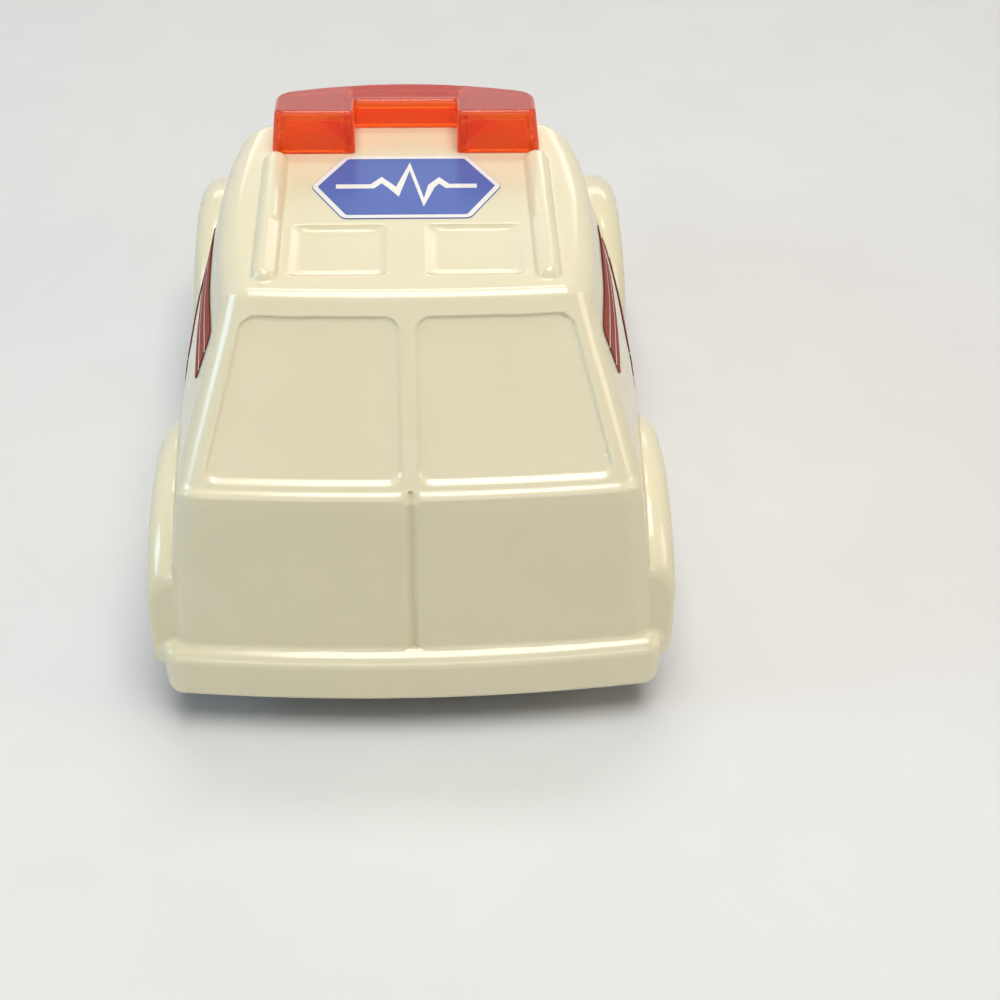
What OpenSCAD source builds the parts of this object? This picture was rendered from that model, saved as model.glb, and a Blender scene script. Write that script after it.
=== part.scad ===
// Toy ambulance: a moulded shell on a flat base, two rolling axles and a clear red light bar.
// Millimetres. +Y is forward, +X is the right-hand side, +Z is up.
// The origin is on the ground under the middle of the toy.

/* [Overall] */
// Length over both bumpers
overall_l = 76; // [74:0.5:80]
// Width over the wheel flares
flare_w = 47.2; // [46.6:0.1:50]
// Height of the flat roof above the ground
roof_z = 43; // [41:0.25:46]
// Wall thickness of the moulded shell
wall = 1.6; // [1.2:0.1:1.9]
// Radius of the shell's outer edges
edge_r = 2.1; // [2:0.05:2.6]

/* [Rear doors and sides] */
// Height of the shell's lower edge
sill_z = 5.6; // [5.2:0.1:6.2]
// Height of the belt line, where the window panel starts to lean
belt_z = 29; // [27:0.25:31]
// How far the bumper stands behind the doors
bumper_proud = 1.5; // [1:0.1:2.2]
// How far the rear doors bow out at the middle
door_bow = 0.9; // [0.5:0.1:1.5]
// Width across the doors at the sill
door_low_w = 44.8; // [43.5:0.1:45.5]
// Width of the belt line at the rear corners
belt_rear_w = 38.6; // [37:0.2:40]
// Width of the belt line beside the middle of the roof
belt_mid_w = 39.8; // [39:0.2:41.5]
// Widest part of the lower sides
side_w = 45; // [44:0.1:46]
// Height at which the lower sides start to curve in
side_z = 19; // [17:0.25:21]
// Width of the gap between the two doors
door_gap = 0.7; // [0.5:0.05:1]

/* [Roof] */
// How far the roof's rear edge lies ahead of the doors
roof_rear_in = 9.6; // [8.5:0.1:10.5]
// Width of the roof at its rear edge
roof_rear_w = 29; // [28:0.2:30.5]
// Width of the roof at its middle
roof_mid_w = 32; // [31:0.2:33.5]
// Width of the roof at its front edge
roof_front_w = 29.6; // [28.5:0.2:31]
// Length of the flat roof along its middle
roof_l = 30; // [29.5:0.25:32]
// How far the roof's front edge bows out at the middle
roof_front_bow = 5; // [3:0.25:6]
// Distance between the two roof ribs
rib_gap = 23.4; // [22.8:0.1:24]
// Width of a roof rib
rib_w = 2.2; // [1.8:0.1:2.4]
// Height of a roof rib
rib_h = 0.9; // [0.6:0.05:1]
// Gap between a roof rib and the light bar
rib_end_gap = 0.1; // [0:0.05:2]
// Distance from the roof's rear edge to the ribs
rib_in = 1.6; // [1:0.1:2.5]
// Length of a roof tray, across the roof
tray_w = 8.4; // [7.5:0.1:9]
// Width of a roof tray, along the roof
tray_l = 7.4; // [6.5:0.1:7.6]
// Distance between the two trays
tray_gap = 3; // [2:0.1:4]
// Distance from the roof's rear edge to the trays
tray_in = 2.5; // [2:0.1:3]
// Depth of a roof tray
tray_depth = 0.6; // [0.3:0.05:0.8]
// Width of a tray's sloping edge
tray_slope = 1.1; // [0.6:0.05:1.4]

/* [Windows] */
// Depth of the moulded window panels
pane_depth = 0.5; // [0.3:0.05:0.6]
// Width of the post between the rear windows
post_w = 1.7; // [1.2:0.1:2.4]
// Height from the belt line to the lower edge of the windows
pane_low = 1; // [0.6:0.1:2]
// Height from the upper edge of the windows to the roof
pane_top = 1.9; // [1.5:0.1:3]
// Width over both rear windows at their upper edge
pane_top_w = 26.8; // [25:0.2:27]
// Width over both rear windows at their lower edge
pane_low_w = 33.8; // [32:0.2:34.2]
// Radius of the windows' corners
pane_r = 1.5; // [0.8:0.1:2]
// Radius of the rear windows' lower corners
pane_low_r = 0.8; // [0.4:0.1:1.5]
// Height from the bonnet to the lower edge of the windscreen
screen_low = 2; // [1.5:0.1:3]
// Length of a side window along its upper edge
side_pane_l = 5; // [4:0.25:5.5]

/* [Front] */
// Height of the bonnet at the windscreen
cowl_z = 27.5; // [26:0.25:28.5]
// Distance from the roof's front edge to the foot of the windscreen
screen_l = 10.9; // [9.5:0.1:12]
// Height of the bonnet at the nose
nose_z = 22.6; // [21.6:0.1:23.2]
// Width of the nose
nose_w = 40; // [38:0.25:41]
// Width of the bonnet's top at the nose
nose_top_w = 35; // [34:0.25:36.5]
// How far the nose bows out at the middle
nose_bow = 1.8; // [1:0.1:2.4]
// How far the nose lies inside the front bumper
nose_in = 0.5; // [0.3:0.1:1]
// How far the nose leans back at the bonnet
nose_lean = 0.3; // [0.1:0.1:1]
// Height of the bonnet's rounded shoulder at the nose
nose_shoulder = 6; // [5:0.25:7]
// Width of the bonnet at the windscreen
cowl_w = 35.6; // [34:0.25:37]
// Width of the moulded grille
grille_w = 19; // [16:0.25:20]
// Height of the moulded grille
grille_h = 5; // [4:0.1:5.5]
// Number of bars in the grille
grille_bars = 4; // [3:1:5]
// Depth of the grille's slots
grille_depth = 0.9; // [0.5:0.1:1.2]
// Height from the front bumper to the grille
grille_up = 1.2; // [0.8:0.1:2]
// Diameter of a headlamp
lamp_d = 4.6; // [4:0.1:5]
// Distance between the headlamps
lamp_gap = 26; // [25:0.25:27.5]
// How far a headlamp's face lies inside the nose's middle
lamp_in = 0.2; // [0:0.05:0.5]

/* [Bumpers] */
// Height of the bumpers' lower edge
bumper_z = 4.6; // [4.4:0.1:5]
// Height of a bumper
bumper_h = 6; // [5.4:0.1:6.4]
// Width of the rear bumper
bumper_w = 45.4; // [44:0.2:46.5]
// Width of the front bumper
front_bumper_w = 43; // [41:0.2:44]
// How far a bumper bows out at the middle
bumper_bow = 1.4; // [0.8:0.1:2]
// Radius of a bumper's edges
bumper_r = 1.1; // [0.6:0.1:1.6]
// Radius of a bumper's ends in plan
bumper_end_r = 2.2; // [1.2:0.1:2.8]

/* [Wheels and axles] */
// Distance from the rear bumper's face to the rear axle
rear_axle_in = 14; // [13.5:0.25:14.5]
// Distance from the front bumper's face to the front axle
front_axle_in = 18; // [17:0.25:18.5]
// Radius of a tyre
tyre_r = 8.2; // [7.8:0.1:8.6]
// Width of a tyre
tyre_w = 6; // [5.4:0.1:6.4]
// Radius of a tyre's shoulders
tyre_shoulder = 1; // [0.5:0.1:1.4]
// Width of a groove in the tread
tread_w = 0.5; // [0.3:0.05:0.8]
// Depth of a groove in the tread
tread_depth = 0.4; // [0.2:0.05:0.6]
// Radius of a wheel's hub, inside the tyre
hub_r = 5.6; // [5:0.1:6]
// Number of holes in a hub
hub_holes = 6; // [4:1:8]
// Diameter of a hole in a hub
hub_hole_d = 1.4; // [1:0.1:1.4]
// Thickness of a hub's rim
hub_rim_t = 0.9; // [0.6:0.1:1.2]
// How far a hub's rim lies inside the tyre's faces
hub_rim_in = 0.3; // [0.1:0.05:0.6]
// Depth of a hub's dished face
hub_dish = 1.4; // [1:0.1:2]
// Thickness of a hub's web
hub_web_t = 1.1; // [0.8:0.1:1.6]
// Thickness of a hub's sleeve round the axle
hub_sleeve_t = 1.1; // [0.8:0.1:1.3]
// Diameter of an axle
axle_d = 2; // [1.6:0.1:2.4]
// How far an axle's ends lie inside the tyres' faces
axle_end_in = 0.7; // [0.4:0.1:1]
// Running clearance between an axle and its saddles
axle_fit = 0.06; // [0.03:0.01:0.1]
// Gap between a flare and the tyre
arch_gap = 1.1; // [0.9:0.1:1.4]
// Thickness of the rear flares round the wheel arch
rear_flare_t = 5.3; // [4.8:0.1:5.6]
// Thickness of the front flares round the wheel arch
front_flare_t = 4.5; // [4:0.1:5]
// How far the flares stay ahead of the doors
flare_in = 0.3; // [0.1:0.05:0.6]
// Radius of the flares' outer edge
flare_rim = 2.2; // [1.8:0.1:2.4]
// Radius of the flares' corner beside the doors, in plan
flare_corner_r = 1.2; // [0.8:0.1:2]
// How far the tyres stay inside the flares
tyre_in = 0.7; // [0.5:0.1:1.4]
// Side play of an axle
side_play = 0.35; // [0.3:0.05:0.5]

/* [Base] */
// Height of the base's flat underside
base_z = 4.2; // [4:0.1:4.8]
// Thickness of the base plate
base_t = 2; // [1.8:0.1:2.5]
// Gap between the base and the shell
base_fit = 0.2; // [0.1:0.05:0.3]
// Thickness of an axle saddle
saddle_t = 2.4; // [2:0.1:3]
// Length of an axle saddle, along the toy
saddle_l = 7; // [6:0.1:8]
// Gap between a tyre and its saddle
saddle_gap = 2; // [1.6:0.1:2.6]
// Thickness of an axle keeper
keeper_t = 1.6; // [1.2:0.1:2]
// How deep a keeper's prongs reach into the saddles
keeper_grip = 1; // [0.6:0.1:1.5]
// Diameter of a screw's thread
screw_d = 2.2; // [2:0.1:2.6]
// Length of a screw under its head
screw_l = 10; // [8:0.5:11]
// Diameter of a screw's head
screw_head_d = 4.2; // [3.8:0.1:4.6]
// Height of a screw's head
screw_head_h = 1.3; // [1:0.1:1.6]
// How far a screw's head lies inside the base
screw_head_in = 0.2; // [0.1:0.05:0.4]
// Thickness of the base under a screw's head
screw_seat_t = 1.2; // [1:0.1:1.6]
// Gap between a screw and the base
screw_fit = 0.2; // [0.1:0.05:0.3]
// Width of the slots in a screw's head
screw_slot = 0.6; // [0.4:0.05:0.8]
// Length of the slots in a screw's head
screw_slot_l = 2.8; // [2:0.1:3.2]
// Wall round a screw in its boss
boss_wall = 1.5; // [1.2:0.1:2]
// Distance from each bumper's face to its screw
screw_in = 7.5; // [7:0.1:8.5]

/* [Light bar] */
// Width of the light bar
bar_w = 24.2; // [23.5:0.1:25]
// Distance between its two rear blocks
block_gap = 9.5; // [8.5:0.1:11]
// How far the blocks reach behind the middle
block_l = 4.5; // [3.8:0.1:5]
// Length of the bar at its middle
bar_l = 4.1; // [3.6:0.1:4.6]
// Height of the blocks' rear edge above the roof
bar_h = 4.3; // [3.8:0.1:5]
// How far the top of the bar falls from rear to front
bar_fall = 2.2; // [1.2:0.1:2.5]
// How far the bar's front edge bows out at the middle
bar_bow = 3; // [1.5:0.1:3.5]
// Distance from the roof's front edge back to the bar
bar_in = 0.3; // [0.1:0.05:1]
// Wall thickness of the light bar
bar_wall = 1.1; // [0.8:0.05:1.3]
// Radius of the light bar's corners
bar_r = 1.2; // [1.1:0.05:1.4]
// Gap between the light bar and its pedestals
bar_fit = 0.1; // [0.05:0.05:0.2]
// Gap between the posts and the light bar's inner sides
post_gap = 0.7; // [0.5:0.05:1]
// Length of the posts inside the light bar
post_l = 2.6; // [2:0.1:3]
// Height of the posts inside the light bar
post_h = 1.2; // [1:0.1:2]

/* [Stickers] */
// Thickness of a sticker
sticker_t = 0.12; // [0.1:0.01:0.2]
// Width of the roof badge
badge_w = 16.8; // [14:0.2:17.6]
// Length of the roof badge
badge_l = 10; // [8:0.2:10.4]
// Gap between the badge and the light bar
badge_gap = 0.5; // [0.2:0.1:0.9]
// Radius of the roof badge's corners
badge_r = 0.8; // [0.4:0.1:1.5]
// Height of the stripe on the lower sides
low_stripe_h = 7; // [6:0.1:7.4]
// Height from the sill to the lower stripe
low_stripe_up = 12.4; // [11:0.1:13]
// Gap between a lower stripe and the flares
low_stripe_gap = 1.2; // [0.8:0.1:2]
// How far a lower stripe reaches over the flares
low_stripe_over = 0.8; // [0.2:0.1:1]
// Radius of the upper stripes' corners
stripe_r = 0.6; // [0.3:0.1:1]
// Height of the stripe on the upper sides
top_stripe_h = 5; // [3:0.1:5.6]
// Height from the belt line to the upper stripe
top_stripe_up = 4.5; // [3:0.1:5]
// Length of the stripe on the upper sides
top_stripe_l = 16; // [12:0.25:16.5]
// Distance from the roof's rear edge to the upper stripe
top_stripe_in = 0.6; // [0:0.1:3]

/* [Hidden] */

cream = [0.93, 0.9, 0.8];
black = [0.05, 0.05, 0.055];
lens_red = [0.86, 0.12, 0.05];
badge_blue = [0.25, 0.34, 0.68];
stripe_red = [0.66, 0.14, 0.1];
steel = [0.75, 0.76, 0.78];
hub_grey = [0.6, 0.61, 0.63];

// Smoothness of the rounded forms, and a length past every surface
ball_fn = 16;
arc_steps = 5;
big = 200;

// Places along the toy
rear_y = -overall_l / 2;
front_y = overall_l / 2;
door_y = rear_y + bumper_proud;
nose_y = front_y - nose_in;
roof_rear_y = door_y + roof_rear_in;
roof_front_y = roof_rear_y + roof_l;
cowl_y = roof_front_y + screen_l;
roof_mid_y = (roof_rear_y + roof_front_y) / 2;
roof_front_end_y = roof_front_y - roof_front_bow;
rear_axle_y = rear_y + rear_axle_in;
front_axle_y = front_y - front_axle_in;
screw_ys = [rear_y + screw_in, front_y - screw_in];
bumper_top_z = bumper_z + bumper_h;

// Running gear
axle_z = tyre_r;
axle_r = axle_d / 2;
slot_w = axle_d + 2 * axle_fit;
arch_r = tyre_r + arch_gap;
rear_flare_r = arch_r + rear_flare_t;
front_flare_r = arch_r + front_flare_t;
tyre_x = flare_w / 2 - tyre_in;
axle_half_l = tyre_x - axle_end_in;
saddle_x = tyre_x - tyre_w - saddle_gap;

// Heights on the base
saddle_top_z = axle_z + axle_r + keeper_grip;
seat_z = base_z + screw_head_h + screw_head_in;
pad_top_z = seat_z + screw_seat_t;
pad_r = screw_head_d / 2 + boss_wall;
boss_r = screw_d / 2 + boss_wall;
screw_tip_z = seat_z + screw_l;

// Light bar
bar_front_y = roof_front_y - bar_in;
bar_mid_y = bar_front_y - bar_l;
bar_rear_y = bar_mid_y - block_l;
block_w = (bar_w - block_gap) / 2;
bar_post_w = block_w - 2 * bar_wall - 2 * post_gap;

// Under the shell's lower edge, where its form is cut off, and the doors' width there
floor_z = base_z - edge_r;
floor_w = door_low_w + (door_low_w - belt_rear_w) * (sill_z - floor_z) / (belt_z - sill_z);

// Lean of the rear window panel, of the upper sides and of the windscreen, from the vertical
pane_lean = atan2(roof_rear_in, roof_z - belt_z);
side_lean = atan2((belt_mid_w - roof_mid_w) / 2, roof_z - belt_z);
screen_lean = atan2(cowl_y - roof_front_y, roof_z - cowl_z);

// How far a ball's middle lies inside the corner between a flat roof and a leaning face
function roof_corner(lean) = edge_r * tan((90 - lean) / 2);

// Heights of the rear window panel, the bonnet and the light bar at a place along the toy
function pane_z(y) = belt_z + (y - door_y) / tan(pane_lean);
function bonnet_z(y) = nose_z + (cowl_z - nose_z) * (nose_y - y) / (nose_y - cowl_y);
function bar_z(y) = roof_z + bar_h - bar_fall * (y - bar_rear_y) / (bar_front_y - bar_rear_y);

// Points of a row across the toy, bowed in plan, and a pair of points, one on each side
function bowed(half_w, mid_y, end_y, z) =
    [for (u = [-1:0.5:1]) [u * half_w, mid_y + (end_y - mid_y) * u * u, z]];
function pair(half_w, y, z) = [[-half_w, y, z], [half_w, y, z]];

// An outline with its corners rounded, by one radius or by a list of them
function unit(v) = v / norm(v);
function corner_arc(a, b, c, r) =
    let (
        u = unit(a - b),
        w = unit(c - b),
        half = acos(u * w) / 2,
        mid = b + unit(u + w) * r / sin(half),
        from = b + u * r / tan(half) - mid,
        to = b + w * r / tan(half) - mid,
        start = atan2(from.y, from.x),
        turn = atan2(from.x * to.y - from.y * to.x, from * to) / arc_steps
    )
    [for (i = [0:arc_steps]) mid + r * [cos(start + turn * i), sin(start + turn * i)]];
function rounded(points, radii) =
    let (n = len(points))
    [
        for (i = [0:n - 1])
            let (r = is_list(radii) ? radii[i] : radii)
            each r == 0
                ? [points[i]]
                : corner_arc(points[(i + n - 1) % n], points[i], points[(i + 1) % n], r)
    ];
function box_outline(x0, y0, x1, y1) = [[x0, y0], [x1, y0], [x1, y1], [x0, y1]];

// A ball with a corner at each of its six outermost points
module ball(r) {
    step = 360 / ball_fn;
    rotate_extrude($fn = ball_fn) polygon([for (a = [0:step:180]) r * [sin(a), cos(a)]]);
}

// The convex form round a list of ball middles
module round_form(middles, r) {
    hull()
        for (p = middles)
            translate(p) ball(r);
}

// A prism along Y from an outline in X and Z, and one along X from an outline in Y and Z
module prism_y(points, y0, y1) {
    translate([0, y1, 0]) rotate([90, 0, 0]) linear_extrude(y1 - y0) polygon(points);
}

module prism_x(points, x0, x1) {
    translate([x0, 0, 0]) rotate([90, 0, 90]) linear_extrude(x1 - x0) polygon(points);
}

module both_sides() {
    children();
    mirror([1, 0, 0]) children();
}

module at_screws() {
    for (y = screw_ys)
        translate([0, y, 0]) children();
}

// Ball middles of the van body, from the doors to the foot of the windscreen
cabin_middles = concat(
    bowed(floor_w / 2 - edge_r, door_y + edge_r, door_y + door_bow + edge_r, floor_z),
    bowed(belt_rear_w / 2 - edge_r, door_y + edge_r, door_y + door_bow + edge_r,
        belt_z - edge_r * tan(pane_lean / 2)),
    bowed(roof_rear_w / 2 - roof_corner(side_lean), roof_rear_y + roof_corner(pane_lean),
        roof_rear_y + door_bow / 2 + roof_corner(pane_lean), roof_z - edge_r),
    pair(roof_mid_w / 2 - roof_corner(side_lean), roof_mid_y, roof_z - edge_r),
    bowed(roof_front_w / 2 - roof_corner(side_lean), roof_front_y - roof_corner(screen_lean),
        roof_front_end_y - roof_corner(screen_lean), roof_z - edge_r),
    pair(belt_mid_w / 2 - edge_r, roof_mid_y, belt_z),
    pair(side_w / 2 - edge_r, roof_mid_y, side_z),
    pair(side_w / 2 - edge_r, roof_mid_y, floor_z),
    pair(side_w / 2 - edge_r, cowl_y - roof_front_bow, side_z),
    pair(side_w / 2 - edge_r, cowl_y - roof_front_bow, floor_z),
    bowed(cowl_w / 2 - edge_r, cowl_y - edge_r, cowl_y - roof_front_bow - edge_r, cowl_z - edge_r)
);

// Ball middles of the bonnet and nose
bonnet_middles = concat(
    pair(side_w / 2 - edge_r, roof_front_y, floor_z),
    pair(side_w / 2 - edge_r, roof_front_y, side_z),
    bowed(cowl_w / 2 - edge_r, cowl_y, cowl_y - roof_front_bow, cowl_z - edge_r),
    bowed(nose_top_w / 2 - edge_r, nose_y - nose_lean - edge_r, nose_y - nose_bow - nose_lean - edge_r,
        nose_z - edge_r),
    bowed(nose_w / 2 - edge_r, nose_y - edge_r, nose_y - nose_bow - edge_r, nose_z - nose_shoulder),
    bowed(nose_w / 2 - edge_r, nose_y - edge_r, nose_y - nose_bow - edge_r, floor_z)
);

module cabin(grow) {
    round_form(cabin_middles, edge_r + grow);
}

module bonnet(grow) {
    round_form(bonnet_middles, edge_r + grow);
}

// A pair of wheel flares: they stand out from the sides round a wheel arch
module flares(y, r, inner_w) {
    end_y = door_y + flare_in;
    difference() {
        intersection() {
            hull()
                for (a = [0:15:90])
                    translate([0, y, axle_z]) rotate([0, 90, 0])
                        cylinder(r = r - flare_rim * (1 - cos(a)),
                            h = flare_w - 2 * flare_rim * (1 - sin(a)), center = true, $fn = 64);
            linear_extrude(big)
                polygon(rounded(box_outline(-flare_w / 2, end_y, flare_w / 2, -end_y), flare_corner_r));
        }
        translate([-inner_w / 2, -big / 2, -big / 2]) cube([inner_w, big, big]);
        for (turn = [0, 1])
            mirror([0, turn, 0])
                translate([-big / 2, rear_axle_y - arch_r - big, bumper_top_z - bumper_r - big]) cube(big);
    }
}

// A bumper bowed in plan: a rounded bar turned about a far vertical axis, with rounded ends
module bumper_bar(w) {
    depth = bumper_proud + wall + bumper_bow;
    bow_r = (w * w / 4 + bumper_bow * bumper_bow) / (2 * bumper_bow);
    intersection() {
        translate([0, rear_y + bow_r, bumper_z])
            rotate_extrude($fn = 360)
                polygon(rounded(box_outline(bow_r - depth, 0, bow_r, bumper_h), bumper_r));
        translate([0, rear_y, 0])
            linear_extrude(2 * bumper_top_z)
                polygon(rounded(box_outline(-w / 2, 0, w / 2, depth + 2 * bumper_bow), bumper_end_r));
    }
}

module bumpers() {
    bumper_bar(bumper_w);
    mirror([0, 1, 0]) bumper_bar(front_bumper_w);
}

// A rib with round ends, turned about its own length and sunk in the roof
module roof_rib() {
    rib_r = (rib_w * rib_w / 4 + rib_h * rib_h) / (2 * rib_h);
    half_l = (bar_rear_y - rib_end_gap - roof_rear_y - rib_in) / 2;
    end_steps = 2 * arc_steps;
    quarter = [for (i = [0:end_steps]) rib_r * [sin(90 * i / end_steps), 1 - cos(90 * i / end_steps)]];
    outline = concat(
        [for (p = quarter) [p.x, p.y - half_l]],
        [for (i = [0:end_steps]) [quarter[end_steps - i].x, half_l - quarter[end_steps - i].y]]
    );
    translate([rib_gap / 2, roof_rear_y + rib_in + half_l, roof_z + rib_h - rib_r])
        rotate([-90, 0, 0]) rotate_extrude($fn = 48) polygon(outline);
}

// A shallow tray with sloping edges, open upwards
module tray_cut() {
    x0 = tray_gap / 2;
    y0 = roof_rear_y + tray_in;
    low = roof_z - tray_depth;
    high = roof_z + tray_depth;
    intersection() {
        prism_y([[x0 + tray_slope, low], [x0 + tray_w - tray_slope, low],
            [x0 + tray_w + tray_slope, high], [x0 - tray_slope, high]], y0 - big / 4, y0 + big / 4);
        prism_x([[y0 + tray_slope, low], [y0 + tray_l - tray_slope, low],
            [y0 + tray_l + tray_slope, high], [y0 - tray_slope, high]], -big / 4, big / 4);
    }
}

// Outlines of the moulded windows, all cut to one depth below the shell's surface
pane_low_z = belt_z + pane_low;
pane_high_z = roof_z - pane_top;

module rear_window() {
    outline = [[post_w / 2, pane_low_z], [pane_low_w / 2, pane_low_z],
        [pane_top_w / 2, pane_high_z], [post_w / 2, pane_high_z]];
    prism_y(rounded(outline, [pane_low_r, pane_low_r, pane_r, pane_r]), rear_y, roof_rear_y + edge_r);
}

module windscreen() {
    low = cowl_z + screen_low;
    outline = [[-pane_low_w / 2, low], [pane_low_w / 2, low],
        [pane_top_w / 2, pane_high_z], [-pane_top_w / 2, pane_high_z]];
    prism_y(rounded(outline, pane_r), roof_front_end_y - edge_r, front_y);
}

module side_windows() {
    lead = (pane_high_z - pane_low_z) * tan(screen_lean);
    front = roof_front_end_y - edge_r;
    outline = [[front - side_pane_l, pane_low_z], [front + lead, pane_low_z],
        [front, pane_high_z], [front - side_pane_l, pane_high_z]];
    prism_x(rounded(outline, pane_r), -big / 4, big / 4);
}

module door_groove() {
    translate([-door_gap / 2, rear_y, bumper_top_z])
        cube([door_gap, bumper_proud + 2 * wall, belt_z - pane_low - bumper_top_z]);
}

module pane_cuts() {
    difference() {
        union() {
            both_sides() rear_window();
            windscreen();
            side_windows();
            door_groove();
        }
        cabin(-pane_depth);
    }
}

// Slots of the moulded grille, and the headlamps beside it
grille_z = bumper_top_z + grille_up;

module grille_cut() {
    bar = grille_h / (2 * grille_bars + 1);
    for (i = [0:grille_bars])
        translate([-grille_w / 2, nose_y - grille_depth, grille_z + 2 * i * bar])
            cube([grille_w, big / 4, bar]);
}

module headlamps() {
    both_sides()
        translate([lamp_gap / 2, nose_y - nose_bow - edge_r, grille_z + grille_h / 2])
            rotate([-90, 0, 0]) cylinder(d = lamp_d, h = nose_bow + edge_r - lamp_in, $fn = 48);
}

// Posts on the roof, inside the light bar's two blocks
module bar_posts() {
    both_sides()
        translate([block_gap / 2 + block_w / 2, bar_rear_y + bar_wall + bar_fit + post_l / 2, roof_z])
            translate([-bar_post_w / 2, -post_l / 2, -wall / 2])
                cube([bar_post_w, post_l, wall / 2 + post_h]);
}

// Bosses that take the two screws, from the base up to the shell's skin
module bosses() {
    sink = wall / 2;
    rear_top = pane_z(screw_ys[0] - boss_r) - sink / sin(pane_lean);
    front_top = bonnet_z(screw_ys[1] + boss_r) - sink;
    translate([0, screw_ys[0], pad_top_z]) cylinder(r = boss_r, h = rear_top - pad_top_z, $fn = 48);
    translate([0, screw_ys[1], pad_top_z]) cylinder(r = boss_r, h = front_top - pad_top_z, $fn = 48);
}

// Wheel arches through the shell's sides and the base
module arch_cuts() {
    for (y = [rear_axle_y, front_axle_y])
        both_sides()
            translate([saddle_x + side_play, y, axle_z])
                rotate([0, 90, 0]) cylinder(r = arch_r, h = big / 4, $fn = 96);
}

module shell_outside() {
    difference() {
        union() {
            cabin(0);
            bonnet(0);
            flares(rear_axle_y, rear_flare_r, side_w - 2 * edge_r);
            flares(front_axle_y, front_flare_r, nose_top_w);
        }
        translate([-big / 2, -big / 2, sill_z - big]) cube(big);
    }
    bumpers();
    headlamps();
    both_sides() roof_rib();
    bar_posts();
}

module body_shell() {
    color(cream)
        difference() {
            union() {
                difference() {
                    shell_outside();
                    cabin(-wall);
                    bonnet(-wall);
                    pane_cuts();
                    grille_cut();
                    both_sides() tray_cut();
                }
                bosses();
            }
            arch_cuts();
            at_screws() translate([0, 0, base_z]) cylinder(d = screw_d, h = screw_tip_z - base_z, $fn = 32);
        }
}

// The base plate fills the shell's open underside and carries the axles
module base_slab() {
    intersection() {
        union() {
            cabin(-wall - base_fit);
            bonnet(-wall - base_fit);
        }
        translate([-big / 2, -big / 2, base_z]) cube([big, big, base_t]);
    }
}

module saddles(y) {
    both_sides()
        translate([saddle_x - saddle_t, y - saddle_l / 2, base_z])
            cube([saddle_t, saddle_l, saddle_top_z - base_z]);
}

module axle_slot(y) {
    translate([0, y, axle_z]) rotate([0, 90, 0])
        cylinder(d = slot_w, h = 2 * tyre_x, center = true, $fn = 48);
    translate([-tyre_x, y - slot_w / 2, axle_z]) cube([2 * tyre_x, slot_w, big]);
}

module base_plate() {
    color(black)
        difference() {
            union() {
                difference() {
                    base_slab();
                    arch_cuts();
                }
                saddles(rear_axle_y);
                saddles(front_axle_y);
                at_screws() translate([0, 0, base_z]) cylinder(r = pad_r, h = pad_top_z - base_z, $fn = 48);
            }
            axle_slot(rear_axle_y);
            axle_slot(front_axle_y);
            at_screws() {
                cylinder(d = screw_d + 2 * screw_fit, h = big, $fn = 32);
                cylinder(d = screw_head_d + 2 * screw_fit, h = seat_z, $fn = 48);
            }
        }
}

// A keeper bridges two saddles, with a prong in each slot that holds the axle down
module axle_keeper(y) {
    prong_z = axle_z + axle_r + axle_fit;
    color(black) {
        translate([-saddle_x, y - saddle_l / 2, saddle_top_z]) cube([2 * saddle_x, saddle_l, keeper_t]);
        both_sides()
            translate([saddle_x - saddle_t, y - slot_w / 2, prong_z])
                cube([saddle_t, slot_w, saddle_top_z + keeper_t - prong_z]);
    }
}

module axle(y) {
    color(steel)
        translate([0, y, axle_z])
            rotate([0, 90, 0]) cylinder(d = axle_d, h = 2 * axle_half_l, center = true, $fn = 48);
}

// Places a wheel piece, drawn with its outer face up at zero height
module at_wheel(y, side) {
    translate([side * tyre_x, y, axle_z]) rotate([0, side * 90, 0]) children();
}

module tyre(y, side) {
    color(black)
        at_wheel(y, side)
            difference() {
                rotate_extrude($fn = 96)
                    polygon(rounded(box_outline(hub_r, -tyre_w, tyre_r, 0),
                        [0, tyre_shoulder, tyre_shoulder, 0]));
                for (k = [1, 2])
                    translate([0, 0, -tyre_w * k / 3 - tread_w / 2])
                        rotate_extrude($fn = 96)
                            translate([tyre_r - tread_depth, 0]) square([tyre_r, tread_w]);
            }
}

// A hub with a rim under the tyre, a pierced web and a sleeve that reaches the saddle
module hub(y, side) {
    sleeve_r = axle_r + hub_sleeve_t;
    sleeve_z = saddle_x + side_play - tyre_x;
    rim_r = hub_r - hub_rim_t;
    web_low = -hub_dish - hub_web_t;
    hole_r = (sleeve_r + rim_r) / 2;
    outline = [
        [axle_r, sleeve_z], [sleeve_r, sleeve_z], [sleeve_r, web_low], [rim_r, web_low],
        [rim_r, hub_rim_in - tyre_w], [hub_r, hub_rim_in - tyre_w], [hub_r, -hub_rim_in],
        [rim_r, -hub_rim_in], [rim_r - hub_rim_t / 2, -hub_dish], [sleeve_r + hub_sleeve_t / 2, -hub_dish],
        [sleeve_r, -axle_end_in], [axle_r, -axle_end_in],
    ];
    color(hub_grey)
        at_wheel(y, side)
            difference() {
                rotate_extrude($fn = 96) polygon(outline);
                for (i = [0:hub_holes - 1])
                    rotate([0, 0, 360 * (i + 0.5) / hub_holes])
                        translate([hole_r, 0, -tyre_w]) cylinder(d = hub_hole_d, h = tyre_w, $fn = 32);
            }
}

module base_screws() {
    color(steel)
        at_screws()
            difference() {
                union() {
                    translate([0, 0, seat_z]) cylinder(d = screw_d, h = screw_l, $fn = 32);
                    translate([0, 0, seat_z - screw_head_h])
                        cylinder(d = screw_head_d, h = screw_head_h, $fn = 48);
                }
                for (a = [0, 90])
                    rotate([0, 0, a])
                        translate([-screw_slot_l / 2, -screw_slot / 2, seat_z - screw_head_h - big])
                            cube([screw_slot_l, screw_slot, big + screw_head_h / 2]);
            }
}

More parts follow.
